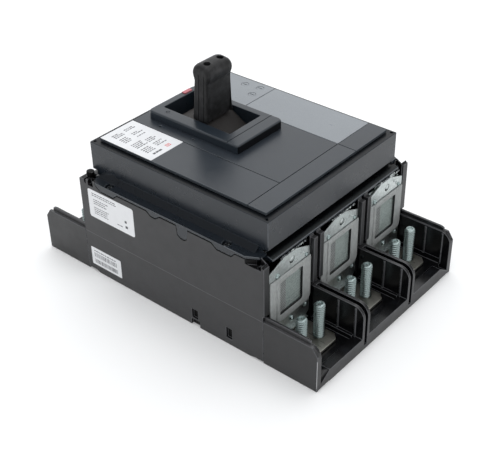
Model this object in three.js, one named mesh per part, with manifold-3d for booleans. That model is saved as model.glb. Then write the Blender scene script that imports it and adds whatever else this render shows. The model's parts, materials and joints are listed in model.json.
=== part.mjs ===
// A three-pole moulded case circuit breaker with a front facia, a toggle with an extension handle,
// three arc chutes and open terminal shields at both ends.
// Millimetres. The breaker lies on its back: Z is up from the mounting face, X runs across the
// poles and Y along the current path, with the visible arc chutes at -Y.
import * as THREE from 'three';
import { mergeVertices } from 'three/addons/utils/BufferGeometryUtils.js';
import Module from 'manifold-3d';

const wasm = await Module();
wasm.setup();

// ---- Driving dimensions -------------------------------------------------------------------
const GAP = 0.3;                 // clearance kept between neighbouring pieces
const HALF_WIDTH = 105;
const POLE_PITCH = 70;
const POLES = [-POLE_PITCH, 0, POLE_PITCH];
const PHASE_WALLS = [-POLE_PITCH / 2, POLE_PITCH / 2];
const BODY_END = 107;            // half length of the case
const SHIELD_END = 163.5;        // half length over the terminal shields
const FLOOR = 4;                 // inside floor of the case
const CHAMBER = { half: 28, extra: 2, end: 100 }; // a pole's room; the outer ones reach further out
const SLOT_HALF = 1.9;           // half width of the slots for phase barriers
const CASE_TOP = 101.7;          // where the cover's skirt meets the case
const FLANGE_TOP = 104;
const TAB_LOW = 97.4;            // underside of the cover's screw tabs
const CORNER = { high: 104.5, far: 102, near: 100 }; // tops of the corner bosses and of their ends
const DOME = { x: 91.6, y: 102.1, top: 135, wall: 3 };
const FACIA = { x: 85.3, y: 95.3, top: 138.3, thick: 2.8 };
const SEAM = 0.7;                // visible joint between facia pieces
const FRAME = { x: 31.5, y0: -20, y1: 88, top: 146.5, corner: 4 };
const WINDOW = { x0: -18.5, x1: 23.5, y0: 0, y1: 80 };
const PIVOT = { y: 40.4, z: 94 };          // toggle axis, along X
const DRUM_RADIUS = 51.6;
const SHAFT = { y: -10, z: 45, radius: 9 }; // contact shaft axis, along X
const PAD = { z0: 10, z1: 13, end: 145, half: 22 };
const STUD = { radius: 5, spread: 12.5, y: 130, bottom: 6.2, top: 46.8 };
const CHUTE = { half: 27.2, front: -110, top: 96.3, shoulder: 89, low: 16 };
const VENT = { z0: 33, z1: 80, hole0: 41, hole1: 75, holeHalf: 15 };
const ROUND = 24;                // sides of a small round piece

// ---- Solids: three.js shapes joined and cut as closed bodies ---------------------------------
function solid(geometry) {
  const bare = geometry.clone();
  bare.deleteAttribute('normal');
  bare.deleteAttribute('uv');
  const merged = mergeVertices(bare, 1e-4);
  return new wasm.Manifold(new wasm.Mesh({
    numProp: 3,
    vertProperties: new Float32Array(merged.attributes.position.array),
    triVerts: new Uint32Array(merged.index.array),
  }));
}

function box(x0, x1, y0, y1, z0, z1) {
  const geometry = new THREE.BoxGeometry(x1 - x0, y1 - y0, z1 - z0);
  geometry.translate((x0 + x1) / 2, (y0 + y1) / 2, (z0 + z1) / 2);
  return solid(geometry);
}

// An outline extruded from `from` to `to` along Z.
function slab(outline, from, to) {
  const shape = outline instanceof THREE.Shape ? outline : polygon(outline);
  const geometry = new THREE.ExtrudeGeometry(shape, {
    depth: to - from, bevelEnabled: false, curveSegments: 5,
  });
  geometry.translate(0, 0, from);
  return geometry;
}

// (x, y) outline along Z; (y, z) outline along X; (x, z) outline along Y.
const prismZ = (outline, z0, z1) => solid(slab(outline, z0, z1));
const CYCLE_X = new THREE.Matrix4().set(0, 0, 1, 0, 1, 0, 0, 0, 0, 1, 0, 0, 0, 0, 0, 1);
const prismX = (outline, x0, x1) => solid(slab(outline, x0, x1).applyMatrix4(CYCLE_X));
const prismY = (outline, y0, y1) => solid(slab(outline, -y1, -y0).rotateX(Math.PI / 2));

function polygon(points) {
  return new THREE.Shape(points.map(([a, b]) => new THREE.Vector2(a, b)));
}

function roundedRect(x0, x1, y0, y1, r) {
  const shape = new THREE.Shape();
  shape.moveTo(x0 + r, y0);
  shape.lineTo(x1 - r, y0);
  shape.absarc(x1 - r, y0 + r, r, -Math.PI / 2, 0);
  shape.lineTo(x1, y1 - r);
  shape.absarc(x1 - r, y1 - r, r, 0, Math.PI / 2);
  shape.lineTo(x0 + r, y1);
  shape.absarc(x0 + r, y1 - r, r, Math.PI / 2, Math.PI);
  shape.lineTo(x0, y0 + r);
  shape.absarc(x0 + r, y0 + r, r, Math.PI, 1.5 * Math.PI);
  return shape;
}

// Round bars along Z and X.
function roundZ(x, y, z0, z1, radius, sides = ROUND) {
  const geometry = new THREE.CylinderGeometry(radius, radius, z1 - z0, sides);
  geometry.rotateX(Math.PI / 2).translate(x, y, (z0 + z1) / 2);
  return solid(geometry);
}

function roundX(y, z, x0, x1, radius, sides = ROUND) {
  const geometry = new THREE.CylinderGeometry(radius, radius, x1 - x0, sides);
  geometry.rotateZ(Math.PI / 2).translate((x0 + x1) / 2, y, z);
  return solid(geometry);
}

// A piece turned from a profile of (radius, height) points.
function turned(profile, x, y, sides = ROUND) {
  const points = profile.map(([r, z]) => new THREE.Vector2(r, z));
  return solid(new THREE.LatheGeometry(points, sides).rotateX(Math.PI / 2).translate(x, y, 0));
}

const join = (...solids) => solids.reduce((all, one) => all.add(one));
const cut = (body, ...tools) => tools.reduce((rest, tool) => rest.subtract(tool), body);
const span = (a, b) => [Math.min(a, b), Math.max(a, b)];
const facing = (side, points) => (side > 0 ? points : points.map(([a, b]) => [-a, b]).reverse());

// ---- Finishes ----------------------------------------------------------------------------------
const finish = (color, roughness, metalness = 0) =>
  new THREE.MeshStandardMaterial({ color, roughness, metalness });
const FINISH = {
  case: () => finish(0x2c2c2e, 0.6),
  cover: () => finish(0x30353a, 0.5),
  facia: () => finish(0x3a4046, 0.45),
  frame: () => finish(0x353b42, 0.45),
  panel: () => finish(0x9ea3a8, 0.45),
  handle: () => finish(0x1c1c1e, 0.55),
  red: () => finish(0xb03030, 0.4),
  zinc: () => finish(0xb4bab9, 0.35, 0.9),
  vent: () => finish(0x9a9c9a, 0.7),
  steel: () => finish(0x8d9391, 0.4, 0.9),
  stud: () => finish(0xaeb8b8, 0.3, 1),
  copper: () => finish(0xb9b4a2, 0.35, 1),
  inner: () => finish(0x45413c, 0.6),
};

const breaker = new THREE.Group();

function piece(name, body, material) {
  const { vertProperties, triVerts, numProp } = body.getMesh();
  const position = new Float32Array(vertProperties.length / numProp * 3);
  for (let i = 0; i < position.length / 3; i += 1) {
    position.set(vertProperties.subarray(i * numProp, i * numProp + 3), i * 3);
  }
  const geometry = new THREE.BufferGeometry();
  geometry.setAttribute('position', new THREE.BufferAttribute(position, 3));
  geometry.setIndex(new THREE.BufferAttribute(new Uint32Array(triVerts), 1));
  geometry.computeVertexNormals();
  const mesh = new THREE.Mesh(geometry, material);
  mesh.name = name;
  breaker.add(mesh);
}

// ---- Case and cover ---------------------------------------------------------------------------
// Lower edge of the cover's skirt along the side, from the far end to the near end: two screw tabs,
// a small tab and a long locating tongue hang below the plain edge.
const SKIRT = { from: 86, to: -88.5, inside: 101.5, seam: 0.8 };
const SKIRT_EDGE = [
  [SKIRT.from, CASE_TOP], [79.5, TAB_LOW], [63.5, TAB_LOW], [58.5, CASE_TOP], [22.5, CASE_TOP],
  [17.5, 98.2], [12, 97.6], [6.5, CASE_TOP], [-13.1, CASE_TOP], [-14, 92.8], [-17.5, 90.4],
  [-21.5, 90], [-24.4, 91.6], [-25.7, CASE_TOP], [-52.5, CASE_TOP], [-58.5, TAB_LOW],
  [-74, TAB_LOW], [-77.8, CASE_TOP], [SKIRT.to, CASE_TOP],
];
const SCREW = { x: 100.2, ys: [71.9, -65.7], seat: 100.2, seatRadius: 4.1, holeRadius: 2.4, tabHalf: 7.5 };
const PILLAR = { x: 92.2, half: 6 };
const LEDGE = { low: 98.2, lip: 100.4, top: 102, back: 95.5 };
const REVEAL = { top: 107.2, depth: 5.5 }; // dark recess at the foot of the dome's end walls
const OVER = 120;                // a height above every piece of the case
const SIDES = [-1, 1];

const screwPlaces = SIDES.flatMap((side) => SCREW.ys.map((y) => ({ side, y })));

// Side view of the case: relieved heels at both ends and bosses at the top corners.
const CASE_PROFILE = [
  [-BODY_END, 1.2], [-98, 1.2], [-93, 0], [93, 0], [98, 2], [BODY_END, 2],
  [BODY_END, CORNER.far], [92, CORNER.high], [-100, CORNER.high], [-BODY_END, CORNER.near],
];

// A side's flange from above, with ends that run in obliquely to the corner bosses.
const FLANGE_END = { far: [94.6, 95], near: [98.6, -100] };
function flange(side, grow, z0, z1) {
  const { far, near } = FLANGE_END;
  const outline = [
    [DOME.x - 1, near[1] - grow], [near[0], near[1] - grow], [HALF_WIDTH, SKIRT.to - grow],
    [HALF_WIDTH, SKIRT.from + grow], [far[0], far[1] + grow], [DOME.x - 1, far[1] + grow],
  ];
  return prismZ(facing(side, outline), z0, z1);
}

// Seat of the cover in the case: its skirts, its dome with the end ledges, and its screw tabs.
function coverSeat() {
  const under = SKIRT_EDGE.map(([y, z]) => [y, z - SKIRT.seam]);
  under.push([SKIRT.to, OVER], [SKIRT.from, OVER]);
  const skirts = SIDES.map((side) => prismX(under, ...span(side * DOME.x, side * (HALF_WIDTH + 1))));
  const dome = box(-DOME.x - GAP, DOME.x + GAP, -BODY_END - 1, BODY_END + 1, LEDGE.low - GAP, OVER);
  const room = SCREW.tabHalf + GAP;
  const tabs = screwPlaces.map(({ side, y }) => box(
    ...span(side * (DOME.x - 4), side * (HALF_WIDTH + 1)), y - room, y + room, TAB_LOW - GAP, OVER));
  const flanges = SIDES.map((side) => flange(side, GAP, CASE_TOP - GAP, OVER));
  return join(dome, ...skirts, ...tabs, ...flanges);
}

// A pole's room, the opening that holds its arc chute and the slot for its load terminal.
function poleRoom(pole) {
  const { half, extra, end } = CHAMBER;
  const left = pole - half - (pole < 0 ? extra : 0);
  const right = pole + half + (pole > 0 ? extra : 0);
  const low = PAD.z0 - 1;
  return join(
    box(left, right, -end, end, FLOOR, OVER),
    box(pole - CHUTE.half - GAP, pole + CHUTE.half + GAP, -BODY_END - 1, 1 - end, low, OVER),
    box(pole - PAD.half - GAP, pole + PAD.half + GAP, end - 1, BODY_END + 1, low, PAD.z1 + 11),
  );
}

// Slots for phase barriers at both ends of a wall, and the contact shaft's bearing notch in it.
function wallCuts(x) {
  const notch = SHAFT.radius + 1;
  return [
    ...SIDES.map((end) => box(
      x - SLOT_HALF, x + SLOT_HALF, ...span(end * (BODY_END - 9), end * (BODY_END + 5)), -1, CHUTE.top + 2)),
    box(x - 8, x + 8, SHAFT.y - notch, SHAFT.y + notch, SHAFT.z - notch, OVER),
  ];
}

// A notch beside the near end of the flange, with a hole in its floor, and two pockets at the far end.
function cornerCuts(side) {
  const { near } = FLANGE_END;
  const outside = HALF_WIDTH + 1;
  const notch = [
    [near[0], near[1] - 5.5], [outside, near[1] - 5.5], [outside, SKIRT.to], [HALF_WIDTH, SKIRT.to], near,
  ];
  const across = (x0, y0, y1, z) => box(...span(side * x0, side * outside), y0, y1, z, OVER);
  return [
    prismZ(facing(side, notch), 96.5, OVER),
    roundZ(side * 101.6, -102, 90, 97, 2, 12),
    across(99, 98.6, 101, 99),
    across(100.8, 89.5, 95.5, 98.5),
  ];
}

// One side's corner cuts, screw holes and mounting clip slots.
function sideCuts(side) {
  const wall = span(side * (HALF_WIDTH - 2.5), side * (HALF_WIDTH + 1));
  return [
    ...cornerCuts(side),
    ...SCREW.ys.map((y) => roundZ(side * SCREW.x, y, 76, OVER, 2.3, 12)),
    box(...wall, -33, -26, 8, 18),
    box(...wall, -35, -25, -1, 6.5),
    box(...wall, -72.6, -66, 6.5, 18),
  ];
}

function baseCase() {
  const shell = cut(prismX(CASE_PROFILE, -HALF_WIDTH, HALF_WIDTH), coverSeat(), ...POLES.map(poleRoom));
  // posts between the arc chutes and at the corners, standing proud of the end
  const postLow = 50;
  const posts = PHASE_WALLS.map((x) => box(
    x - 7, x + 7, -BODY_END - 4.5, 1 - BODY_END, postLow, CHUTE.top));
  const cornerPosts = SIDES.map((side) => box(
    ...span(side * 98, side * HALF_WIDTH), -BODY_END - 1.6, 1 - BODY_END, postLow, CORNER.near - 0.6));
  const bosses = SIDES.map((side) => roundZ(side * 96.1, 101, CORNER.far - 2, 107, 3.7, 16));
  const pillars = screwPlaces.map(({ side, y }) => box(
    ...span(side * PILLAR.x, side * 101), y - PILLAR.half, y + PILLAR.half, FLOOR - 1, TAB_LOW - GAP));
  return cut(
    join(shell, ...posts, ...cornerPosts, ...bosses, ...pillars),
    ...PHASE_WALLS.flatMap(wallCuts),
    ...SIDES.flatMap(sideCuts),
  );
}

// Side skin of the cover, flush with the case, with its tabs.
function coverSkirt(side) {
  const outline = [...SKIRT_EDGE, [SKIRT.to, FLANGE_TOP], [SKIRT.from, FLANGE_TOP]];
  return prismX(outline, ...span(side * (SKIRT.inside + GAP), side * HALF_WIDTH));
}

// Bevel between the flange and the dome wall, with a taller gusset that runs out at the far end.
function coverBevel(side) {
  const foot = FLANGE_TOP - 1;
  const [inner, outer] = [DOME.x - 1, 96.3];
  const rise = { main: 108.8, gusset: 110.5 };
  const gussetFrom = 68;
  const section = (top) => facing(side, [
    [inner, foot], [outer, foot], [outer, FLANGE_TOP], [DOME.x, top], [inner, top],
  ]);
  const gusset = [
    [gussetFrom - 1, foot], [gussetFrom - 1, 107], [75.6, rise.gusset], [94, FLANGE_TOP], [94, foot],
  ];
  const gussetShape = prismX(gusset, ...span(side * inner, side * 97));
  return join(
    prismY(section(rise.main), SKIRT.to - 3.8, gussetFrom),
    prismY(section(rise.gusset), gussetFrom - 1, 94).intersect(gussetShape),
  );
}

// Ledge across the end of the cover, under a reveal at the foot of the dome wall.
function coverLedge(end) {
  const { low, lip, top, back } = LEDGE;
  return prismX(
    facing(end, [[back, low], [BODY_END, low], [BODY_END, lip], [DOME.y, top], [back, top]]),
    -DOME.x, DOME.x);
}

// Openings in the top of the dome, under the facia: for the toggle and for the trip unit.
const TOGGLE_OPENING = [WINDOW.x0 - 3.2, WINDOW.x1 + 3.2, WINDOW.y0 - 3.2, WINDOW.y1 + 3.2];
const TRIP_OPENING = [42, 82, -70, 92];

function cover() {
  const { x, y, top, wall } = DOME;
  const foot = y - REVEAL.depth;
  const body = join(
    box(-x, x, -y, y, REVEAL.top, top),
    box(-x, x, -foot, foot, LEDGE.low, REVEAL.top + 1),
    ...SIDES.flatMap((side) => [
      flange(side, 0, CASE_TOP, FLANGE_TOP), coverSkirt(side), coverBevel(side), coverLedge(side)]),
    ...screwPlaces.map((place) => box(
      ...span(place.side * (DOME.x - 3.8), place.side * (HALF_WIDTH - 1)),
      place.y - SCREW.tabHalf, place.y + SCREW.tabHalf, TAB_LOW, FLANGE_TOP)),
  );
  const inside = join(
    box(-x + wall, x - wall, wall - foot, foot - wall, 90, REVEAL.top + 2 * wall),
    box(-x + wall, x - wall, wall - y, y - wall, REVEAL.top + wall, top - wall),
  );
  const screwHoles = screwPlaces.flatMap((place) => [
    roundZ(place.side * SCREW.x, place.y, SCREW.seat, OVER, SCREW.seatRadius),
    roundZ(place.side * SCREW.x, place.y, 90, SCREW.seat + 1, SCREW.holeRadius, 12),
  ]);
  const cornerHoles = SIDES.flatMap((side) => SIDES.map((end) =>
    roundZ(side * 88.4, end * 98.8, top - 8, top + 1, 1.6, 10)));
  return cut(
    body,
    inside,
    box(...TOGGLE_OPENING, top - 10, top + 1),
    box(...TRIP_OPENING, top - 10, top + 1),
    ...screwHoles,
    ...cornerHoles,
  );
}

function coverScrew(x, y) {
  const under = SCREW.seat + GAP;
  const head = [[0, under], [3.5, under], [3.5, under + 1.3], [2.7, under + 2.3], [0, under + 2.5]];
  const shank = roundZ(x, y, 80, under + 1, 2, 12);
  const [long, thin] = [1.9, 0.45];
  const cross = [[long, thin], [thin, long]].map(([dx, dy]) =>
    box(x - dx, x + dx, y - dy, y + dy, under + 1.2, under + 5));
  return cut(join(turned(head, x, y, 20), shank), ...cross);
}

// ---- Facia ---------------------------------------------------------------------------------
// Seams between the facia pieces, and the outer edges moved out so that every edge is cut back alike.
const SEAM_X = { outer: FACIA.x + SEAM / 2, left: -44, right: 37.8 };
const SEAM_Y = { outer: FACIA.y + SEAM / 2, strip: -76, divider: 32.7 };
const DIALS = [[75, 61.5], [77.4, 44.7], [63, 42.8]];
const DIAL_RADIUS = 3.6;
const PIN_HOLES = [[-36, 28.3], [-36.5, 68.3]];

function faciaPiece(x0, x1, y0, y1) {
  const trim = SEAM / 2;
  return box(x0 + trim, x1 - trim, y0 + trim, y1 - trim, FACIA.top - FACIA.thick, FACIA.top);
}

const through = (x, y, radius, sides) => roundZ(x, y, FACIA.top - 10, FACIA.top + 2, radius, sides);

function frontEscutcheon() {
  return cut(
    faciaPiece(SEAM_X.left, SEAM_X.right, SEAM_Y.strip, SEAM_Y.outer),
    box(...TOGGLE_OPENING, 130, 140),
    ...PIN_HOLES.map(([x, y]) => through(x, y, 1.3, 10)),
  );
}

function tripWindow() {
  return cut(
    faciaPiece(SEAM_X.right, SEAM_X.outer, SEAM_Y.divider, SEAM_Y.outer),
    ...DIALS.map(([x, y]) => through(x, y, DIAL_RADIUS + GAP)),
  );
}

function tripUnit() {
  const [x0, x1, y0, y1] = TRIP_OPENING;
  const room = GAP + 0.1;
  const body = box(x0 + room, x1 - room, y0 + room, y1 - room, 110, FACIA.top - FACIA.thick - GAP);
  return cut(body, ...DIALS.map(([x, y]) => through(x, y, DIAL_RADIUS + GAP)));
}

function dial(x, y) {
  const { top } = FACIA;
  const knob = roundZ(x, y, top - 9.8, top - 0.2, DIAL_RADIUS);
  return cut(knob, box(x - 0.5, x + 0.5, y - 2.6, y + 2.6, top - 1.4, top + 1));
}

// ---- Handle --------------------------------------------------------------------------------
const BUTTON = { x0: 12.2, x1: 22.2, y0: 81.8, y1: 86.4 };

function handleFrame() {
  const { x, y0, y1, top, corner } = FRAME;
  const plate = prismZ(roundedRect(-x, x, y0, y1, corner), FACIA.top + GAP, top - 1);
  const crown = prismZ(roundedRect(-x + 1, x - 1, y0 + 1, y1 - 1, corner - 0.8), top - 1.2, top);
  const { x0, x1, y0: w0, y1: w1 } = WINDOW;
  const wall = 2.6;
  const sleeve = box(x0 - wall, x1 + wall, w0 - wall, w1 + wall, FACIA.top - 9.8, top - 2);
  const groove = box(-x - 1, x + 1, -7.9, -7.1, top - 1.2, top + 1);
  return cut(
    join(plate, crown, sleeve),
    box(x0, x1, w0, w1, 120, top + 1),
    box(BUTTON.x0 - GAP, BUTTON.x1 + GAP, BUTTON.y0 - GAP, BUTTON.y1 + GAP, 120, top + 1),
    groove,
  );
}

function tripButton() {
  const { x0, x1, y0, y1 } = BUTTON;
  return box(x0, x1, y0, y1, FACIA.top + 2.7, FRAME.top + 0.9);
}

// Everything on the toggle stands square over the pivot, then leans with it.
const TOGGLE_LEAN = THREE.MathUtils.degToRad(2.5);
function lean(body) {
  return body.transform(new THREE.Matrix4()
    .makeTranslation(0, PIVOT.y, PIVOT.z)
    .multiply(new THREE.Matrix4().makeRotationX(TOGGLE_LEAN))
    .multiply(new THREE.Matrix4().makeTranslation(0, -PIVOT.y, -PIVOT.z)).elements);
}

// Stub of the toggle, on which the extension handle is pushed.
const STUB = { x: [-6, 11], y: [PIVOT.y - 6.8, PIVOT.y + 2.2], top: PIVOT.z + 70 };

function toggleDrum() {
  const [x0, x1] = [WINDOW.x0 + 0.9, WINDOW.x1 - 0.9];
  const { y, z } = PIVOT;
  const [shell, webWidth] = [8.4, 3];
  const reach = THREE.MathUtils.degToRad(82);
  const steps = 24;
  const arc = (radius, sign) => Array.from({ length: steps + 1 }, (_, i) => {
    const angle = sign * reach * (1 - 2 * i / steps);
    return [y + radius * Math.sin(angle), z + radius * Math.cos(angle)];
  });
  const outside = ([pointY]) => pointY > y - 6 || pointY < y - 41;  // flat between these two
  const curved = prismX([...arc(DRUM_RADIUS, 1).filter(outside), ...arc(DRUM_RADIUS - shell, -1)], x0, x1);
  const sector = [...arc(DRUM_RADIUS - 1, 1).filter(outside), [y - 8, z - 8], [y + 8, z - 8]];
  const webs = [x0, x1 - webWidth].map((x) => prismX(sector, x, x + webWidth));
  const axle = roundX(y, z, x0 - 7, x1 + 3, 4);
  return lean(join(curved, ...webs, axle, box(...STUB.x, ...STUB.y, z + 40, STUB.top)));
}

function extensionHandle() {
  const centre = PIVOT.y - 2.3;
  const foot = PIVOT.z + DRUM_RADIUS + 0.6;
  const side = [
    [centre - 8, foot], [centre + 8, foot], [centre + 6.7, foot + 38], [centre + 8.9, foot + 45.5],
    [centre + 8.7, foot + 50.5], [centre + 6.2, foot + 53], [centre - 3.5, foot + 54.6],
    [centre - 7.6, foot + 53], [centre - 9.4, foot + 49.5], [centre - 9.1, foot + 45.5],
    [centre - 6.7, foot + 38],
  ];
  const front = [
    [-17, foot - 1], [17.6, foot - 1], [16.4, foot + 41], [16.8, foot + 50], [14.6, foot + 53.8],
    [10.5, foot + 56], [-10.5, foot + 56], [-14.6, foot + 53.8], [-16.8, foot + 50], [-16, foot + 41],
  ];
  const body = prismX(side, -20, 20).intersect(prismY(front, centre - 30, centre + 30));
  const play = GAP + 0.1;
  const socket = box(
    STUB.x[0] - play, STUB.x[1] + play, STUB.y[0] - play, STUB.y[1] + play, foot - 1, STUB.top + play);
  const eyes = SIDES.map((s) => roundZ(s * 8.6, centre - 1.2, foot + 36, foot + 60, 3.1, 16));
  return lean(cut(body, socket, ...eyes));
}

// ---- Mechanism -----------------------------------------------------------------------------
function mechanismFrame() {
  const [left, right, thick] = [-25.6, 24.4, 2];
  const [low, high] = [56, 122];
  const plates = [left, right].map((x) => box(x, x + thick, 14, 72, low, high));
  const bridge = box(left, right + thick, 26, 60, low, low + 3);
  return cut(join(...plates, bridge), roundX(PIVOT.y, PIVOT.z, -40, 40, 4.5));
}

function contactShaft() {
  const half = PILLAR.x - 0.4;
  return roundX(SHAFT.y, SHAFT.z, -half, half, SHAFT.radius);
}

// The contact arms stand open; closed, they lie on the fixed contacts.
const CONTACT_OPEN = THREE.MathUtils.degToRad(18);
function movingContact(pole) {
  const { y, z } = SHAFT;
  const closed = [
    [y - 2, z + 5], [y - 2, z - 8], [-62, 31], [-70, 27], [-80, 27], [-80, 32], [-66, 38],
  ];
  const turn = new THREE.Matrix4().makeTranslation(0, y, z)
    .multiply(new THREE.Matrix4().makeRotationX(-CONTACT_OPEN))
    .multiply(new THREE.Matrix4().makeTranslation(0, -y, -z));
  const arm = prismX(closed, pole - 8, pole + 8).transform(turn.elements);
  return cut(arm, roundX(y, z, pole - 20, pole + 20, SHAFT.radius + GAP));
}

const SPRING = { x: 2.5, radius: 6, low: 61, high: 87, turns: 5, wire: 1.1 };

class SpringCurve extends THREE.Curve {
  getPoint(t, target = new THREE.Vector3()) {
    const { x, radius, low, high, turns } = SPRING;
    const angle = 2 * Math.PI * turns * t;
    return target.set(
      x + radius * Math.cos(angle), PIVOT.y + radius * Math.sin(angle), low + (high - low) * t);
  }
}

function mainSpring() {
  const section = new THREE.Shape().absarc(0, 0, SPRING.wire, 0, 2 * Math.PI);
  return solid(new THREE.ExtrudeGeometry(section, {
    extrudePath: new SpringCurve(), steps: SPRING.turns * 12, curveSegments: 3,
  }));
}

// ---- Current path --------------------------------------------------------------------------
// A terminal bar as seen from above: a wide pad with cut corners outside, a narrow tail inside.
function terminalBar(pole, end, inner) {
  const { half, z0, z1 } = PAD;
  const [corner, tail] = [5, 14];
  const right = [
    [tail, inner], [tail, 94], [half, 98], [half, PAD.end - corner], [half - corner, PAD.end],
  ];
  const left = right.map(([x, y]) => [-x, y]).reverse();
  const outline = [...right, ...left].map(([x, y]) => [pole + x, end * y]);
  return prismZ(end > 0 ? outline : outline.reverse(), z0, z1);
}

function studHoles(pole, end, low, radius) {
  return SIDES.map((s) => roundZ(pole + s * STUD.spread, end * STUD.y, low, 40, radius));
}

function lineTerminal(pole) {
  const contact = box(pole - 9, pole + 9, -81, -69, PAD.z1 - 1, 26.6);
  return cut(join(terminalBar(pole, -1, 66), contact), ...studHoles(pole, -1, 0, STUD.radius + GAP));
}

function loadTerminal(pole) {
  const inner = 14;
  const riser = box(pole - 9, pole + 9, inner, inner + 4, PAD.z1 - 1, 34);
  return cut(join(terminalBar(pole, 1, inner), riser), ...studHoles(pole, 1, 0, STUD.radius + GAP));
}

function stud(x, y) {
  const { radius, bottom, top } = STUD;
  const chamfer = 1.2;
  return turned(
    [[0, bottom], [radius, bottom], [radius, top - chamfer], [radius - chamfer, top], [0, top]], x, y);
}

function currentTransformer(pole) {
  const core = box(pole - 24, pole + 24, 40, 62, FLOOR + GAP, 46);
  return cut(core, box(pole - 15, pole + 15, 30, 80, PAD.z0 - 1.4, PAD.z1 + 7));
}

// ---- Arc chutes ----------------------------------------------------------------------------
// End plate of an arc chute: cut lower corners, a roof-shaped top, a lip at the foot, a window.
function arcPlate(pole) {
  const { half, front, top, shoulder, low } = CHUTE;
  const { hole0, hole1, holeHalf } = VENT;
  const outline = [
    [pole - half, low + 4], [pole - half + 5, low], [pole + half - 5, low], [pole + half, low + 4],
    [pole + half, shoulder], [pole + 8, top], [pole - 8, top], [pole - half, shoulder],
  ];
  const sheet = prismY(outline, front + 2, front + 3.2);
  const lip = box(pole - half + 5, pole + half - 5, front - 1, front + 2.6, low, low + 1.2);
  const edge = holeHalf + 1;
  return cut(join(sheet, lip), box(pole - edge, pole + edge, front, front + 5, hole0 - 1, hole1 + 1));
}

function ventFrame(pole) {
  const { half, front } = CHUTE;
  const { z0, z1, hole0, hole1, holeHalf } = VENT;
  const corner = 6;
  const outline = [
    [pole - half, z0 + corner], [pole - half + corner, z0], [pole + half - corner, z0],
    [pole + half, z0 + corner], [pole + half, z1], [pole - half, z1],
  ];
  return cut(
    prismY(outline, front, front + 2 - GAP),
    box(pole - holeHalf, pole + holeHalf, front - 1, front + 5, hole0, hole1),
  );
}

// The stack of splitter plates behind the window, between two cheeks.
function arcGrid(pole) {
  const [y0, y1] = [CHUTE.front + 4, -84];
  const half = 21;
  const cheeks = SIDES.map((s) => box(...span(pole + s * half, pole + s * (half + 2)), y0, y1, 34, 92));
  const plates = Array.from({ length: 9 }, (_, i) => {
    const z = 38 + i * 6.2;
    return box(pole - half - 0.5, pole + half + 0.5, y0 + 0.5, y1 - 1, z, z + 2);
  });
  return join(...cheeks, ...plates);
}

// ---- Terminal shields --------------------------------------------------------------------
const BAY = { floor: 9.4, sill: 12.6, sillDepth: 9.5, ledge: 14, phaseTop: 44.8, ribs: [137, 155] };
const SKIN = { top: 45, lip: 49.3 };

// One end's tray of three bays. Distances along Y are given from the middle of the breaker outwards.
function terminalShield(end) {
  const y0 = BODY_END + GAP;
  const y1 = SHIELD_END;
  const back = y1 - BAY.sillDepth;
  const low = BAY.floor - 1;
  const sideways = (points, x0, x1) => prismX(facing(end, points), ...span(x0, x1));
  const block = (x0, x1, a, b, z0, z1) => box(...span(x0, x1), ...span(end * a, end * b), z0, z1);
  const ribPair = (x, inward) => BAY.ribs.map((y) => block(x, x + inward * 1.2, y - 0.7, y + 0.7, low, 43));

  // floor, and a sill across the mouth that falls away at the outer corners
  const sillEnd = 87;
  const sill = [[-104.5, 0.8], [104.5, 0.8], [sillEnd, BAY.sill], [-sillEnd, BAY.sill]];
  let body = join(
    block(-HALF_WIDTH, HALF_WIDTH, y0, back + 0.5, 0, BAY.floor),
    prismY(sill, ...span(end * back, end * y1)),
    block(-sillEnd, sillEnd, back, y1, 0, 2),
  );

  const corner = 11;
  const rounding = Array.from({ length: 7 }, (_, i) => {
    const angle = (i / 6) * Math.PI / 2;
    return [
      y1 - corner * (1 - Math.cos(angle)), BAY.phaseTop - corner * (1 - Math.sin(angle))];
  });
  const wall = [[y0, 2], [y1, 2], ...rounding, [y0, BAY.phaseTop]];
  const { top, lip } = SKIN;
  const skin = [[y0, 0], [y1, 0], [y1, top - 8], [y1 - 5.5, top], [y0, top]];
  const inner = [[y0, 2], [back + 0.5, 2], [back + 0.5, lip - 1], [y1 - 12, lip], [y0, lip]];
  for (const side of SIDES) {
    body = join(
      body,
      sideways(skin, side * 102.6, side * HALF_WIDTH),
      sideways(inner, side * 100.6, side * 102.8),
      sideways(wall, side * 99.2, side * 102.8),
      block(side * 98, side * 101, y0 + 4, back + 0.5, low, BAY.ledge),
      ...ribPair(side * 99.3, -side),
    );
  }

  for (const x of PHASE_WALLS) {
    body = join(
      body,
      sideways(wall, x - 5, x + 5),
      block(x - 8, x + 8, y0 + 4, back, low, BAY.ledge),
      ...ribPair(x - 4.9, -1),
      ...ribPair(x + 4.9, 1),
    );
    body = cut(body, block(x - SLOT_HALF, x + SLOT_HALF, y0 + 4, y1 + 1, 4, 60));
  }

  // each terminal lies on a boss with clearance holes for its studs
  const seat = PAD.z0 - GAP;
  for (const pole of POLES) {
    body = cut(
      join(body, block(pole - 20, pole + 20, y0, 141, low, seat)),
      ...studHoles(pole, end, 3, STUD.radius + 1),
      block(pole - PAD.half - GAP, pole + PAD.half + GAP, y0 - 1, y0 + 3, seat, PAD.z1 + 11),
    );
  }
  return body;
}

// ---- Assembly ------------------------------------------------------------------------------
piece('base_case', baseCase(), FINISH.case());
piece('cover', cover(), FINISH.cover());
piece('line_shield', terminalShield(-1), FINISH.case());
piece('load_shield', terminalShield(1), FINISH.case());
screwPlaces.forEach(({ side, y }, i) => {
  piece(`cover_screw_${i + 1}`, coverScrew(side * SCREW.x, y), FINISH.stud());
});

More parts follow.
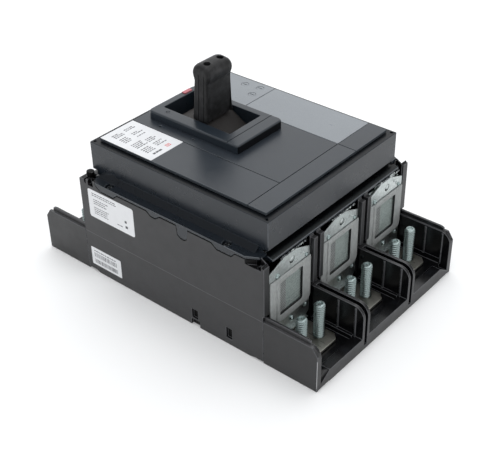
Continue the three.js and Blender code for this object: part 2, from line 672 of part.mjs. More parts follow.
const facias = {
  accessory_cover: faciaPiece(-SEAM_X.outer, SEAM_X.left, SEAM_Y.strip, SEAM_Y.outer),
  front_escutcheon: frontEscutcheon(),
  front_strip: faciaPiece(-SEAM_X.outer, SEAM_X.right, -SEAM_Y.outer, SEAM_Y.strip),
  corner_strip: faciaPiece(SEAM_X.right, SEAM_X.outer, -SEAM_Y.outer, SEAM_Y.strip),
};
for (const [name, body] of Object.entries(facias)) {
  piece(name, body, FINISH.facia());
}
const panel = faciaPiece(SEAM_X.right, SEAM_X.outer, SEAM_Y.strip, SEAM_Y.divider);
piece('trip_unit_panel', panel, FINISH.panel());
piece('trip_unit_window', tripWindow(), FINISH.panel());
piece('trip_unit', tripUnit(), FINISH.inner());
DIALS.forEach(([x, y], i) => piece(`setting_dial_${i + 1}`, dial(x, y), FINISH.panel()));

piece('handle_frame', handleFrame(), FINISH.frame());
piece('toggle_drum', toggleDrum(), FINISH.handle());
piece('extension_handle', extensionHandle(), FINISH.handle());
piece('trip_button', tripButton(), FINISH.red());

piece('mechanism_frame', mechanismFrame(), FINISH.steel());
piece('main_spring', mainSpring(), FINISH.steel());
piece('contact_shaft', contactShaft(), FINISH.inner());
POLES.forEach((pole, i) => {
  const n = i + 1;
  piece(`moving_contact_${n}`, movingContact(pole), FINISH.copper());
  piece(`line_terminal_${n}`, lineTerminal(pole), FINISH.copper());
  piece(`load_terminal_${n}`, loadTerminal(pole), FINISH.copper());
  piece(`current_transformer_${n}`, currentTransformer(pole), FINISH.inner());
  piece(`arc_plate_${n}`, arcPlate(pole), FINISH.zinc());
  piece(`vent_frame_${n}`, ventFrame(pole), FINISH.vent());
  piece(`arc_grid_${n}`, arcGrid(pole), FINISH.steel());
  SIDES.forEach((side, j) => {
    const x = pole + side * STUD.spread;
    piece(`line_stud_${2 * i + j + 1}`, stud(x, -STUD.y), FINISH.stud());
    piece(`load_stud_${2 * i + j + 1}`, stud(x, STUD.y), FINISH.stud());
  });
});

export default breaker;
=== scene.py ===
"""Looks of a moulded case circuit breaker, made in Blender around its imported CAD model.

Lengths are in metres unless a comment says mm. The frame is the CAD's own: Z is up
from the mounting face, X runs across the poles, and the visible arc chutes are at -Y.
"""
import json
import math
import random

import bmesh
import bpy
from mathutils import Matrix, Vector

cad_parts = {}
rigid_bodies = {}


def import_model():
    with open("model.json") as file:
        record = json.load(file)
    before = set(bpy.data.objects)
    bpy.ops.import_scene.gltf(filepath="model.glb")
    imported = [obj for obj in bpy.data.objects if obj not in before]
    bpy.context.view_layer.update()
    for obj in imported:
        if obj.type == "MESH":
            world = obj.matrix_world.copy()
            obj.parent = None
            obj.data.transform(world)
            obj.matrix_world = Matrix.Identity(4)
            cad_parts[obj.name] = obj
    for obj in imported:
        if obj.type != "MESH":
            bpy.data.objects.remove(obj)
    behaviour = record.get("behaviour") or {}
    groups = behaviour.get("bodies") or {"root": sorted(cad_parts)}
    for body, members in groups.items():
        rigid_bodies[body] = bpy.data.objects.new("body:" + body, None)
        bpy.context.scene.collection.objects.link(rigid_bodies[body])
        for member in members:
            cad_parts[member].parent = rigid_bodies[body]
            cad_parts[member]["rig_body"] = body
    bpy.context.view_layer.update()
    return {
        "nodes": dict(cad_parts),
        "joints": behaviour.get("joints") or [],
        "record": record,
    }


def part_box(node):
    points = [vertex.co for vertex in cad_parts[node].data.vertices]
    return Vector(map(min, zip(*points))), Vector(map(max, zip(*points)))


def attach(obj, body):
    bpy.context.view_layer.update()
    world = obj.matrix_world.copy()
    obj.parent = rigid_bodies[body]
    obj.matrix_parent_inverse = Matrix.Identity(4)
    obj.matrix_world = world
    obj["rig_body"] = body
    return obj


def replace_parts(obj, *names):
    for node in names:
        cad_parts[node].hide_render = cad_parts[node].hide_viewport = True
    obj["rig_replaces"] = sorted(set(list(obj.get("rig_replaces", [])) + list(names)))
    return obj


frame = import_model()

MM = 0.001
SLOT_OF = {part["node"]: part["material_slot"] for part in frame["record"]["subparts"]}
JOINTS = {joint["name"]: joint for joint in frame["joints"]}


# ---- Materials -----------------------------------------------------------------------------------
def rgb(red, green, blue):
    """A linear colour from the 0-255 values that a screen shows."""
    def linear(value):
        share = value / 255
        return share / 12.92 if share <= 0.04045 else ((share + 0.055) / 1.055) ** 2.4
    return (linear(red), linear(green), linear(blue), 1.0)


def shade(colour, factor):
    """A colour made lighter or darker, but never brighter than white."""
    return tuple(min(channel * factor, 1.0) for channel in colour[:3]) + (1.0,)


class Nodes:
    """Short calls for the nodes of one shader tree. Texture sizes are in metres."""

    def __init__(self, tree, coordinates):
        self.tree = tree
        self.place = self.node("TexCoord", {}).outputs[coordinates]

    def node(self, kind, inputs, **settings):
        node = self.tree.nodes.new("ShaderNode" + kind)
        for name, value in settings.items():
            setattr(node, name, value)
        for key, value in inputs.items():
            if isinstance(value, bpy.types.NodeSocket):
                self.tree.links.new(value, node.inputs[key])
            else:
                node.inputs[key].default_value = value
        return node

    def noise(self, size, detail=2.0, stretch=None):
        place = self.place
        if stretch:
            place = self.node("Mapping", {"Vector": place, "Scale": stretch}).outputs["Vector"]
        inputs = {"Vector": place, "Scale": 1 / size, "Detail": detail}
        return self.node("TexNoise", inputs).outputs[0]

    def cells(self, size):
        return self.node("TexVoronoi", {"Vector": self.place, "Scale": 1 / size}).outputs["Distance"]

    def remap(self, value, low, high, to_low, to_high):
        inputs = {"Value": value, "From Min": low, "From Max": high, "To Min": to_low, "To Max": to_high}
        return self.node("MapRange", inputs).outputs["Result"]

    def math(self, operation, first, second):
        return self.node("Math", {0: first, 1: second}, operation=operation).outputs[0]

    def mix(self, factor, first, second):
        return self.node("Mix", {0: factor, 6: first, 7: second}, data_type="RGBA").outputs[2]

    def axis(self, name):
        return self.node("SeparateXYZ", {"Vector": self.place}).outputs[name]

    def inside(self, **limits):
        """1 where the place along each given axis is between its limits in mm. Unless the low limit is
        below zero, the limits hold on both sides of the origin."""
        mask = None
        for axis, (low, high) in limits.items():
            place = self.axis(axis) if low < 0 else self.math("ABSOLUTE", self.axis(axis), 0.0)
            inputs = {0: place, 1: (low + high) / 2 * MM, 2: (high - low) / 2 * MM}
            part = self.node("Math", inputs, operation="COMPARE").outputs[0]
            mask = self.math("MULTIPLY", mask, part) if mask else part
        return mask

    def bump(self, height, distance, below=None):
        inputs = {"Height": height, "Distance": distance, "Strength": 1.0}
        if below:
            inputs["Normal"] = below
        return self.node("Bump", inputs).outputs["Normal"]


class Look(Nodes):
    """A Principled material."""

    def __init__(self, name, **sockets):
        self.material = bpy.data.materials.new(name)
        self.material.use_nodes = True
        super().__init__(self.material.node_tree, "Object")
        self.shader = self.tree.nodes["Principled BSDF"]
        for socket, value in sockets.items():
            self.shader.inputs[socket.replace("_", " ")].default_value = value

    def finish(self, colour, roughness, normal=None, gloss=None):
        sockets = {"Base Color": colour, "Roughness": roughness, "Normal": normal,
                   "Specular IOR Level": gloss}
        for socket, value in sockets.items():
            if value is not None:
                self.tree.links.new(value, self.shader.inputs[socket])
        return self.material


def painted_zone(tone, **limits):
    """A box, between limits in mm along each given axis, where a surface takes painted shade or a painted
    highlight in a tone of its own.
    """
    return limits, tone


def plastic(name, colour, roughness, grain=0.012, mottle=0.07, scuffs=0.1, level=0.5, painted_zones=()):
    """Moulded plastic: spark-eroded grain, faint flow marks, and a few rubbed streaks. Its zones of
    painted shade and painted highlight are less glossy than the rest."""
    look = Look(name, Specular_IOR_Level=level)
    flow = look.noise(0.035, 3.0, (1.0, 0.45, 1.0))
    body = look.mix(
        look.remap(flow, 0.3, 0.7, 0.0, 1.0), shade(colour, 1 - mottle), shade(colour, 1 + mottle))
    pores = look.noise(0.0007, 3.0)
    body = look.mix(look.remap(pores, 0.35, 0.7, 0.0, 0.35), body, shade(colour, 0.72))
    streaks = look.remap(look.noise(0.009, 4.0, (5.0, 0.6, 2.0)), 0.63, 0.74, 0.0, scuffs)
    body = look.mix(streaks, body, shade(colour, 2.2))
    dull = None
    # each zone paints shade or a highlight over the body in its own tone
    for limits, tone in painted_zones:
        there = look.inside(**limits)
        body = look.mix(there, body, tone)
        dull = look.math("MAXIMUM", dull, there) if dull else there
    gloss = look.remap(dull, 0.0, 1.0, level, 0.4 * level) if dull else None
    rough = look.remap(look.noise(0.012, 3.0), 0.3, 0.7, roughness - 0.02, roughness + 0.03)
    rough = look.math("ADD", rough, look.math("MULTIPLY", streaks, -0.4))
    normal = look.bump(look.noise(0.0005, 2.0), grain * MM)
    normal = look.bump(look.noise(0.02, 1.0), 0.05 * MM, normal)
    return look.finish(body, rough, normal, gloss)


def metal(name, colour, roughness, brush=(1.0, 1.0, 1.0), blotch=0.12, stains=0.3, bumps=0.03):
    """Plated metal: crystals in the plating, brushing along one axis, and dull blotches."""
    look = Look(name, Metallic=1.0)
    crystals = look.cells(0.002)
    body = look.mix(
        look.remap(crystals, 0.1, 0.8, 0.0, 1.0), shade(colour, 1 + blotch), shade(colour, 1 - blotch))
    stained = look.remap(look.noise(0.008, 5.0), 0.52, 0.72, 0.0, stains)
    body = look.mix(stained, body, shade(colour, 0.62))
    lines = look.noise(0.0012, 3.0, brush)
    rough = look.remap(lines, 0.3, 0.7, roughness - 0.08, roughness + 0.1)
    rough = look.math("ADD", rough, look.math("MULTIPLY", stained, 0.25))
    normal = look.bump(lines, 0.01 * MM)
    normal = look.bump(look.noise(0.004, 3.0), bumps * MM, normal)
    return look.finish(body, rough, normal)


def case_plastic():
    """Dark thermoset of the case and shields: grained outside, with a parting line half way up the
    sides, polished inside the terminal bays, and in painted shade there and behind its outer skin."""
    colour = rgb(39, 39, 41)
    look = Look("case_plastic")
    flow = look.noise(0.05, 4.0, (1.0, 0.3, 1.0))
    body = look.mix(look.remap(flow, 0.3, 0.7, 0.0, 1.0), shade(colour, 0.9), shade(colour, 1.12))
    pores = look.noise(0.0009, 3.0)
    body = look.mix(look.remap(pores, 0.4, 0.7, 0.0, 0.4), body, shade(colour, 0.6))
    streaks = look.remap(look.noise(0.012, 4.0, (4.0, 0.5, 2.5)), 0.62, 0.75, 0.0, 0.12)
    body = look.mix(streaks, body, shade(colour, 2.4))

    shields = look.inside(Y=(107.2, 170))
    body = look.mix(look.math("MULTIPLY", shields, 0.4), body, rgb(18, 18, 19))
    # painted shade in the terminal bays, with lighter streaks that are painted reflections; the bays are
    # also smoother
    bay_polish_and_shade = look.inside(X=(0, 101.5), Y=(106.5, 163.2), Z=(2.0, 49.9))
    bay_reflection_streaks = look.remap(look.noise(0.011, 3.0, (1.0, 1.0, 0.16)), 0.52, 0.72, 0.0, 0.6)
    body = look.mix(bay_polish_and_shade, body, look.mix(bay_reflection_streaks, rgb(11, 11, 13), rgb(29, 31, 35)))
    # painted shade behind the outer skin and in the corner pockets, which are also less glossy
    inside_shade = look.inside(X=(0, 104.3), Y=(0, 106.4), Z=(0, 108))
    corners = look.inside(X=(94, 104.9), Y=(88, 106.9), Z=(95.5, 103.5))
    inside_shade = look.math("MAXIMUM", inside_shade, corners)
    body = look.mix(inside_shade, body, rgb(12, 12, 13))
    rough = look.remap(look.noise(0.01, 4.0), 0.3, 0.7, 0.36, 0.46)
    rough = look.math("SUBTRACT", rough, look.math("MULTIPLY", bay_polish_and_shade, 0.2))
    gloss = look.remap(inside_shade, 0.0, 1.0, 0.5, 0.1)

    parting_height = 45 * MM
    off_line = look.math("ABSOLUTE", look.math("SUBTRACT", look.axis("Z"), parting_height), 0.0)
    ridge = look.remap(off_line, 0.0, 0.6 * MM, 1.0, 0.0)
    # the parting line is a bumped ridge, lightened along it as a painted highlight
    body = look.mix(look.math("MULTIPLY", ridge, 0.3), body, rgb(120, 120, 122))
    grain = look.bump(look.noise(0.0006, 2.0), 0.016 * MM)
    return look.finish(body, rough, look.bump(ridge, 0.15 * MM, grain), gloss)


def rubber_plastic(name, colour, roughness):
    """Matt black handle plastic, dusty on its high spots."""
    look = Look(name, Specular_IOR_Level=0.35)
    dust = look.remap(look.noise(0.007, 6.0), 0.44, 0.68, 0.0, 1.0)
    body = look.mix(dust, shade(colour, 0.7), shade(colour, 3.0))
    lines = look.noise(0.002, 4.0, (1.0, 1.0, 0.12))
    body = look.mix(look.remap(lines, 0.5, 0.75, 0.0, 0.4), body, shade(colour, 1.9))
    rough = look.remap(look.noise(0.004, 3.0), 0.3, 0.7, roughness - 0.06, roughness + 0.08)
    return look.finish(body, rough, look.bump(look.noise(0.0012, 4.0), 0.08 * MM))


def fibre_board():
    """Grey pressed board of the vents, with short fibres and a slightly soiled face."""
    colour = rgb(157, 160, 159)
    look = Look("vent_board", Specular_IOR_Level=0.3)
    fibres = look.noise(0.0016, 4.0, (1.0, 1.0, 0.35))
    body = look.mix(look.remap(fibres, 0.35, 0.65, 0.0, 1.0), shade(colour, 0.88), shade(colour, 1.1))
    soil = look.remap(look.noise(0.012, 4.0), 0.5, 0.75, 0.0, 0.3)
    body = look.mix(soil, body, shade(colour, 0.7))
    rough = look.remap(fibres, 0.3, 0.7, 0.6, 0.75)
    return look.finish(body, rough, look.bump(fibres, 0.04 * MM))


def paper(name, colour):
    """Printed film of a label: slightly glossy, with a faint waviness."""
    look = Look(name, Specular_IOR_Level=0.5)
    tone = look.mix(look.remap(look.noise(0.01, 3.0), 0.3, 0.7, 0.0, 1.0), colour, shade(colour, 0.95))
    rough = look.remap(look.noise(0.003, 3.0), 0.3, 0.7, 0.3, 0.42)
    return look.finish(tone, rough, look.bump(look.noise(0.006, 2.0), 0.02 * MM))


def floor_material():
    look = Look("studio_floor", Specular_IOR_Level=0.2, Emission_Strength=0.1)
    colour = (0.93, 0.93, 0.93, 1.0)
    tone = look.mix(look.noise(0.6, 2.0), colour, shade(colour, 0.985))
    rough = look.remap(look.noise(0.05, 2.0), 0.3, 0.7, 0.7, 0.8)
    return look.finish(tone, rough)


PANEL = rgb(138, 143, 148)
COVER_PAINTED_SHADE = (
    # painted shade: in the seat of the end flanges, on the flange's own lip, and on the long flanges
    # beside the dome
    painted_zone(rgb(7, 8, 10), X=(0, 91.5), Y=(90, 103.2), Z=(95, 107.1)),
    painted_zone(rgb(18, 23, 24), X=(0, 91.5), Y=(103.2, 106.7), Z=(95, 103)),
    painted_zone(rgb(16, 21, 27), X=(91.7, 96.6), Z=(104.05, 110.6)),
    # painted shadow on the ledge round the facia
    painted_zone(rgb(13, 16, 20), Z=(134.7, 135.3)),
)
COVER_EDGE_PAINTED_SHADE = (
    # painted shade that dims the edge highlights on the long flanges and on the ledge round the facia
    painted_zone(rgb(26, 32, 38), X=(91.2, 99), Z=(102, 111)),
    painted_zone(rgb(34, 39, 45), Z=(134.2, 135.3)),
)
# painted light: the facia's side faces are set lighter than its top, to lift the shade along the ledge
FACIA_SIDES_PAINTED_LIGHT = (painted_zone(rgb(60, 65, 70), Z=(120, 138.05)),)
# painted shade on the front face of the toggle frame
FRAME_FRONT_PAINTED_SHADE = (painted_zone(rgb(10, 12, 15), Y=(-20.3, -19.3), Z=(130, 145.3)),)
CASE_EDGE_PAINTED_LIGHT = (
    # painted shade in the seam between the case and the cover's skirts, and a painted highlight on the
    # corners of the shields
    painted_zone(rgb(9, 9, 10), X=(103.9, 105.3), Y=(0, 99), Z=(88, 102.6)),
    painted_zone(rgb(172, 173, 175), X=(104.2, 105.3), Y=(162.6, 163.6), Z=(4, 33)),
)
MATERIALS = {
    "case_plastic": case_plastic(),
    "cover_plastic": plastic("cover_plastic", rgb(27, 33, 40), 0.28, scuffs=0.05, painted_zones=COVER_PAINTED_SHADE),
    "facia_plastic": plastic("facia_plastic", rgb(43, 49, 56), 0.3, scuffs=0.03, painted_zones=FACIA_SIDES_PAINTED_LIGHT),
    "panel_plastic": plastic("panel_plastic", PANEL, 0.3, mottle=0.04),
    "frame_plastic": plastic("frame_plastic", rgb(34, 42, 50), 0.3, scuffs=0.05, painted_zones=FRAME_FRONT_PAINTED_SHADE),
    "handle_plastic": rubber_plastic("handle_plastic", rgb(22, 22, 23), 0.5),
    "red_plastic": plastic("red_plastic", rgb(192, 104, 112), 0.35, scuffs=0.05),
    "inner_plastic": plastic("inner_plastic", rgb(42, 39, 38), 0.6, mottle=0.2, scuffs=0.3),
    "zinc_plate": metal("zinc_plate", rgb(190, 197, 196), 0.34, brush=(1.0, 1.0, 0.15), bumps=0.12),
    "vent_board": fibre_board(),
    "steel_plate": metal("steel_plate", rgb(166, 176, 173), 0.42, brush=(0.15, 1.0, 1.0)),
    "stud_steel": metal("stud_steel", rgb(158, 172, 171), 0.28, brush=(1.0, 1.0, 0.2), blotch=0.04,
                        stains=0.0, bumps=0.006),
    "plated_copper": metal("plated_copper", rgb(172, 170, 162), 0.34, brush=(1.0, 0.1, 1.0), blotch=0.06),
}
# painted highlights: lighter, glossier copies of the plastics for their rounded edges
EDGES = {
    "case_plastic": plastic("case_edge_highlight", rgb(78, 79, 82), 0.28, painted_zones=CASE_EDGE_PAINTED_LIGHT),
    "cover_plastic": plastic("cover_edge_highlight", rgb(82, 87, 92), 0.26, painted_zones=COVER_EDGE_PAINTED_SHADE),
    "facia_plastic": plastic("facia_edge_highlight", rgb(72, 77, 82), 0.28),
    "panel_plastic": plastic("panel_edge_highlight", shade(PANEL, 1.1), 0.3),
}
BLACK_STEEL = metal("black_steel", rgb(98, 101, 104), 0.2, stains=0.2, bumps=0.06)
# darker steel as painted shade, in the thread roots and behind the ladder rungs
PAINTED_SHADE_STEEL = metal("painted_shade_steel", rgb(84, 92, 92), 0.4, stains=0.1)
DRUM_PLASTIC = plastic("drum_plastic", rgb(46, 43, 42), 0.7, mottle=0.45, scuffs=0.25, level=0.3)
# painted shade for the faces inside the vent windows
SHADOW = plastic("painted_recess_shade", rgb(22, 22, 23), 0.6)
PAPER = paper("label_film", rgb(232, 233, 235))
INK = paper("label_ink", rgb(70, 72, 78))
RED_INK = paper("label_red", rgb(214, 96, 96))


# ---- Mesh helpers --------------------------------------------------------------------------------
def add_piece(name, mesh, slot, body="housing", nodes=(), materials=None):
    """Puts a mesh in the scene as a piece that rides on a body and stands for some CAD nodes."""
    piece = bpy.data.objects.new(name, mesh)
    bpy.context.scene.collection.objects.link(piece)
    for material in materials or [MATERIALS[slot]]:
        mesh.materials.append(material)
    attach(piece, body)
    if nodes:
        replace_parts(piece, *nodes)
    return piece


def smooth(piece, degrees=38):
    """Smooth shading that keeps large faces flat and sharp edges sharp."""
    mesh = piece.data
    mesh.shade_smooth()
    mesh.set_sharp_from_angle(angle=math.radians(degrees))
    modifier = piece.modifiers.new("flat_faces", "WEIGHTED_NORMAL")
    modifier.keep_sharp = True
    return piece


def to_mesh(name, build, closed=True):
    """The mesh that `build` makes. Only closed shells get their faces turned outwards."""
    bm = bmesh.new()
    build(bm)
    if closed:
        bmesh.ops.recalc_face_normals(bm, faces=bm.faces)
    mesh = bpy.data.meshes.new(name)
    bm.to_mesh(mesh)
    bm.free()
    return mesh


def round_edges(bm, width, segments, material):
    """Rounds the sharp edges, except beside features too small for it. The new faces take the material
    of their neighbours if it is -1."""
    sharp = math.radians(30)
    cramped = {
        vert for vert in bm.verts
        if min(edge.calc_length() for edge in vert.link_edges) < 2.2 * width
    }
    edges = [
        edge for edge in bm.edges
        if edge.is_manifold and edge.calc_face_angle() > sharp
        and not cramped.intersection(edge.verts)
    ]
    bmesh.ops.bevel(
        bm, geom=edges, offset=width, segments=segments, profile=0.5, affect="EDGES",
        clamp_overlap=False, material=material)


def refined(node, width, segments=2, finish=None, flat=38):
    """A copy of a CAD node with its facets merged and its edges rounded, which stands for it. Faces
    that meet at less than `flat` degrees are shaded as one."""
    source = frame["nodes"][node]
    slot = SLOT_OF[node]
    # unless a finish is given, the rounded edges take the painted highlight of the slot
    edge_highlight = slot in EDGES and not finish

    def build(bm):
        bm.from_mesh(source.data)
        # (gap to merge in mm, bend to flatten in degrees)
        for gap, bend in ((0.001, 0.6), (0.06, 1.0)):
            bmesh.ops.remove_doubles(bm, verts=bm.verts, dist=gap * MM)
            bmesh.ops.dissolve_limit(
                bm, angle_limit=math.radians(bend), verts=bm.verts, edges=bm.edges)
        for face in bm.faces:
            face.material_index = 0
        round_edges(bm, width, segments, material=1 if edge_highlight else -1)

    materials = [finish or MATERIALS[slot]] + ([EDGES[slot]] if edge_highlight else [])
    piece = add_piece(
        node + "_shape", to_mesh(node, build), slot, source["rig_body"], [node], materials)
    return smooth(piece, flat)


def rounded_ring(x0, x1, y0, y1, radii, steps=6):
    """Points round a rectangle with rounded corners, from the (x0, y0) corner anticlockwise."""
    if not isinstance(radii, (tuple, list)):
        radii = (radii,) * 4
    corners = ((x0, y0, 1, 1, 180), (x1, y0, -1, 1, 270), (x1, y1, -1, -1, 0), (x0, y1, 1, -1, 90))
    points = []
    for (x, y, inward_x, inward_y, start), radius in zip(corners, radii):
        for step in range(steps + 1):
            angle = math.radians(start + 90 * step / steps)
            points.append((
                x + inward_x * radius + radius * math.cos(angle),
                y + inward_y * radius + radius * math.sin(angle)))
    return points


def circle(x, y, radius, sides=20):
    """Points round a circle, anticlockwise."""
    steps = (2 * math.pi * i / sides for i in range(sides))
    return [(x + radius * math.cos(a), y + radius * math.sin(a)) for a in steps]


def span(bm, lower, upper):
    """The faces between two rings of vertices."""
    count = len(lower)
    for i in range(count):
        j = (i + 1) % count
        bm.faces.new((lower[i], lower[j], upper[j], upper[i]))


def loft(bm, rings, close=False):
    """Joins rings of points, all of the same count, into a skin that is capped at both ends or, if it
    closes, comes back to its first ring."""
    rows = [[bm.verts.new(point) for point in ring] for ring in rings]
    pairs = list(zip(rows, rows[1:]))
    if close:
        pairs.append((rows[-1], rows[0]))
    for lower, upper in pairs:
        span(bm, lower, upper)
    if not close:
        bm.faces.new(reversed(rows[0]))
        bm.faces.new(rows[-1])


def turn(bm, profile, centre, axis="Z", sides=24):
    """A solid of revolution about Z or -Y from (radius, height) points; the first and last lie on the
    axis."""
    tilts = {"Z": Matrix.Identity(4), "-Y": Matrix.Rotation(math.radians(90), 4, "X")}
    place = Matrix.Translation(centre) @ tilts[axis]
    middle = [
        [place @ Vector((x, y, height)) for x, y in circle(0, 0, radius, sides)]
        for radius, height in profile[1:-1]
    ]
    rows = [[bm.verts.new(point) for point in ring] for ring in middle]
    for lower, upper in zip(rows, rows[1:]):
        span(bm, lower, upper)
    for row, (_, height), back in ((rows[0], profile[0], True), (rows[-1], profile[-1], False)):
        tip = bm.verts.new(place @ Vector((0, 0, height)))
        for i in range(sides):
            j = (i + 1) % sides
            bm.faces.new((row[j], row[i], tip) if back else (row[i], row[j], tip))


def block(bm, low, high):
    """A box between two opposite corners."""
    low, high = Vector(low), Vector(high)
    size = high - low
    place = Matrix.Translation((low + high) / 2) @ Matrix.Diagonal((*size, 1))
    bmesh.ops.create_cube(bm, size=1, matrix=place)


def carve(piece, build):
    """Cuts what `build` makes out of a piece."""
    tool = bpy.data.objects.new("tool", to_mesh("tool", build))
    bpy.context.scene.collection.objects.link(tool)
    modifier = piece.modifiers.new("cut", "BOOLEAN")
    modifier.operation = "DIFFERENCE"
    modifier.solver = "EXACT"
    modifier.object = tool
    graph = bpy.context.evaluated_depsgraph_get()
    carved = bpy.data.meshes.new_from_object(piece.evaluated_get(graph))
    piece.modifiers.clear()
    piece.data = carved
    bpy.data.objects.remove(tool)
    return piece


def flat_plate(name, outlines, thickness, edge):
    """A flat plate lying in its own XY plane, cut by the inner outlines, with rounded edges."""
    curve = bpy.data.curves.new(name, "CURVE")
    curve.dimensions = "2D"
    curve.fill_mode = "BOTH"
    curve.extrude = thickness / 2 - edge
    curve.bevel_depth = edge
    curve.bevel_resolution = 1
    curve.offset = -edge
    for outline in outlines:
        spline = curve.splines.new("POLY")
        spline.points.add(len(outline) - 1)
        for point, (x, y) in zip(spline.points, outline):
            point.co = (x, y, 0, 1)
        spline.use_cyclic_u = True
    holder = bpy.data.objects.new(name, curve)
    bpy.context.scene.collection.objects.link(holder)
    mesh = bpy.data.meshes.new_from_object(holder.evaluated_get(bpy.context.evaluated_depsgraph_get()))
    bpy.data.objects.remove(holder)
    return mesh


# ---- Current path --------------------------------------------------------------------------------
def threaded_rod(node):
    """A rolled thread along a stud, running out in a chamfer at both ends, with painted shade on the
    flank that rises from each root.
    """
    low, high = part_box(node)
    x, y = (low.x + high.x) / 2, (low.y + high.y) / 2
    radius = (high.x - low.x) / 2
    pitch = 2.3 * MM
    depth = 0.9 * MM
    chamfer = 1.3 * MM
    steps = 24
    # the tooth's outline, as (share of the pitch, share of the depth) from one root to the next
    form = ((0.0, 1.0), (0.36, 0.12), (0.46, 0.0), (0.56, 0.0), (0.66, 0.12))
    turns = math.ceil((high.z - low.z) / pitch) + 2

    def point(step, level):
        lap, place = divmod(level, len(form))
        share, sunk = form[place]
        z = low.z + pitch * (lap + share + step / steps - 1)
        z = min(max(z, low.z), high.z)
        limit = radius - chamfer + min(z - low.z, high.z - z)
        r = min(radius - depth * sunk, limit)
        angle = 2 * math.pi * step / steps
        return (x + r * math.cos(angle), y + r * math.sin(angle), z)

    def build(bm):
        levels = turns * len(form)
        columns = [[bm.verts.new(point(s, k)) for k in range(levels)] for s in range(steps)]
        shift = len(form)
        for s, column in enumerate(columns):
            after = columns[(s + 1) % steps]
            offset = 0 if s + 1 < steps else shift
            for k in range(levels - 1 - shift):
                corners = (column[k], after[k + offset], after[k + 1 + offset], column[k + 1])
                if len({corner.co.to_tuple(7) for corner in corners}) > 2:
                    # the flank that rises from each root is in painted shade
                    at_root = k % len(form) == 0
                    bm.faces.new(corners).material_index = 1 if at_root else 0
        bmesh.ops.remove_doubles(bm, verts=bm.verts, dist=1e-6)
        loose = [vert for vert in bm.verts if not vert.link_faces]
        bmesh.ops.delete(bm, geom=loose, context="VERTS")
        rims = [edge for edge in bm.edges if edge.is_boundary]
        caps = bmesh.ops.holes_fill(bm, edges=rims, sides=0)["faces"]
        end = max(caps, key=lambda face: face.calc_center_median().z)
        rim, slope, dish = 0.9 * MM, 0.4 * MM, 0.9 * MM
        bmesh.ops.inset_individual(bm, faces=[end], thickness=rim)
        bmesh.ops.inset_individual(bm, faces=[end], thickness=slope, depth=-dish)

    piece = add_piece(
        node + "_thread", to_mesh(node, build), SLOT_OF[node], "housing", [node],
        [MATERIALS[SLOT_OF[node]], PAINTED_SHADE_STEEL])
    return smooth(piece, 50)


def add_terminals():
    for end in ("line", "load"):
        for i in range(1, 7):
            threaded_rod(f"{end}_stud_{i}")
        for i in range(1, 4):
            refined(f"{end}_terminal_{i}", 0.5 * MM, 3)
    for i in range(1, 4):
        refined(f"moving_contact_{i}", 0.6 * MM)
        refined(f"current_transformer_{i}", 0.8 * MM)
    refined("contact_shaft", 0.8 * MM)


# ---- Arc chutes ----------------------------------------------------------------------------------
PLATE_THICKNESS = 1.2 * MM
# stands a plate that lies in XY upright, with its face to -Y
FACING_LINE_END = Matrix(((1, 0, 0, 0), (0, 0, -1, 0), (0, 1, 0, 0), (0, 0, 0, 1)))


def chute_place(number):
    """Lowest and highest corners of a chute's end plate, its middle across and its outer face."""
    low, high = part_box(f"arc_plate_{number}")
    return low, high, (low.x + high.x) / 2, high.y - PLATE_THICKNESS


def chute_plate(number):
    """Zinc plated end plate: roof-shaped top with a pierced boss, a window and a bent foot."""
    node = f"arc_plate_{number}"
    low, high, pole, face = chute_place(number)
    half = (high.x - low.x) / 2
    window_low, window_high = vent_window(number)
    cut = 4 * MM
    gable = 8 * MM
    shoulder = high.z - 7.3 * MM
    outline = [
        (pole - half, low.z + cut), (pole - half + cut, low.z), (pole + half - cut, low.z),
        (pole + half, low.z + cut), (pole + half, shoulder), (pole + gable, high.z),
        (pole - gable, high.z), (pole - half, shoulder),
    ]
    window = rounded_ring(
        window_low.x - MM, window_high.x + MM, window_low.z - MM, window_high.z + MM, 2 * MM, 3)
    boss = (pole + 2.6 * MM, high.z - 8.2 * MM)
    hole = circle(*boss, 3.4 * MM)
    mesh = flat_plate(node, [outline, window, hole], PLATE_THICKNESS, 0.2 * MM)
    mesh.transform(Matrix.Translation((0, high.y - PLATE_THICKNESS / 2, 0)) @ FACING_LINE_END)
    pin = [(0, 0), (2.7 * MM, 0), (2.7 * MM, 1.3 * MM), (2.2 * MM, 1.7 * MM), (0, 1.9 * MM)]
    dimple = [(0, 0), (1.5 * MM, 0), (1.2 * MM, 0.5 * MM), (0.6 * MM, 0.8 * MM), (0, 0.85 * MM)]
    # (x from the middle, z from the top) in mm
    dimples = ((14, -6.3), (18, -10))
    foot_inset = 5 * MM
    behind = face + 2 * MM
    # top edge of the plate behind, as (x0, x1, height over the plate's top) in mm
    tongues = ((-24, -16, -2.6), (-15, -9, 0.2), (-7, 1, 1.2), (3, 7.5, 1.4), (8.5, 17, 0.6))

    def build(bm):
        bm.from_mesh(mesh)
        turn(bm, pin, (boss[0] + 0.5 * MM, high.y + 0.6 * MM, boss[1] + 0.2 * MM), "-Y")
        for x, z in dimples:
            turn(bm, dimple, (pole + x * MM, face, high.z + z * MM), "-Y", 16)
        block(bm, (pole - half + foot_inset, low.y, low.z),
              (pole + half - foot_inset, face, low.z + PLATE_THICKNESS))
        for x0, x1, rise in tongues:
            block(bm, (pole + x0 * MM, behind, high.z - 7 * MM),
                  (pole + x1 * MM, behind + 0.6 * MM, high.z + rise * MM))

    piece = add_piece(f"chute_plate_{number}", to_mesh(node, build), "zinc_plate", "housing", [node])
    return smooth(piece)


def vent_window(number):
    """Lowest and highest corners of the window in a vent frame, from the frame's own box."""
    low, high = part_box(f"vent_frame_{number}")
    pole = (low.x + high.x) / 2
    return (Vector((pole - 15 * MM, low.y, low.z + 8 * MM)),
            Vector((pole + 15 * MM, high.y, high.z - 5 * MM)))


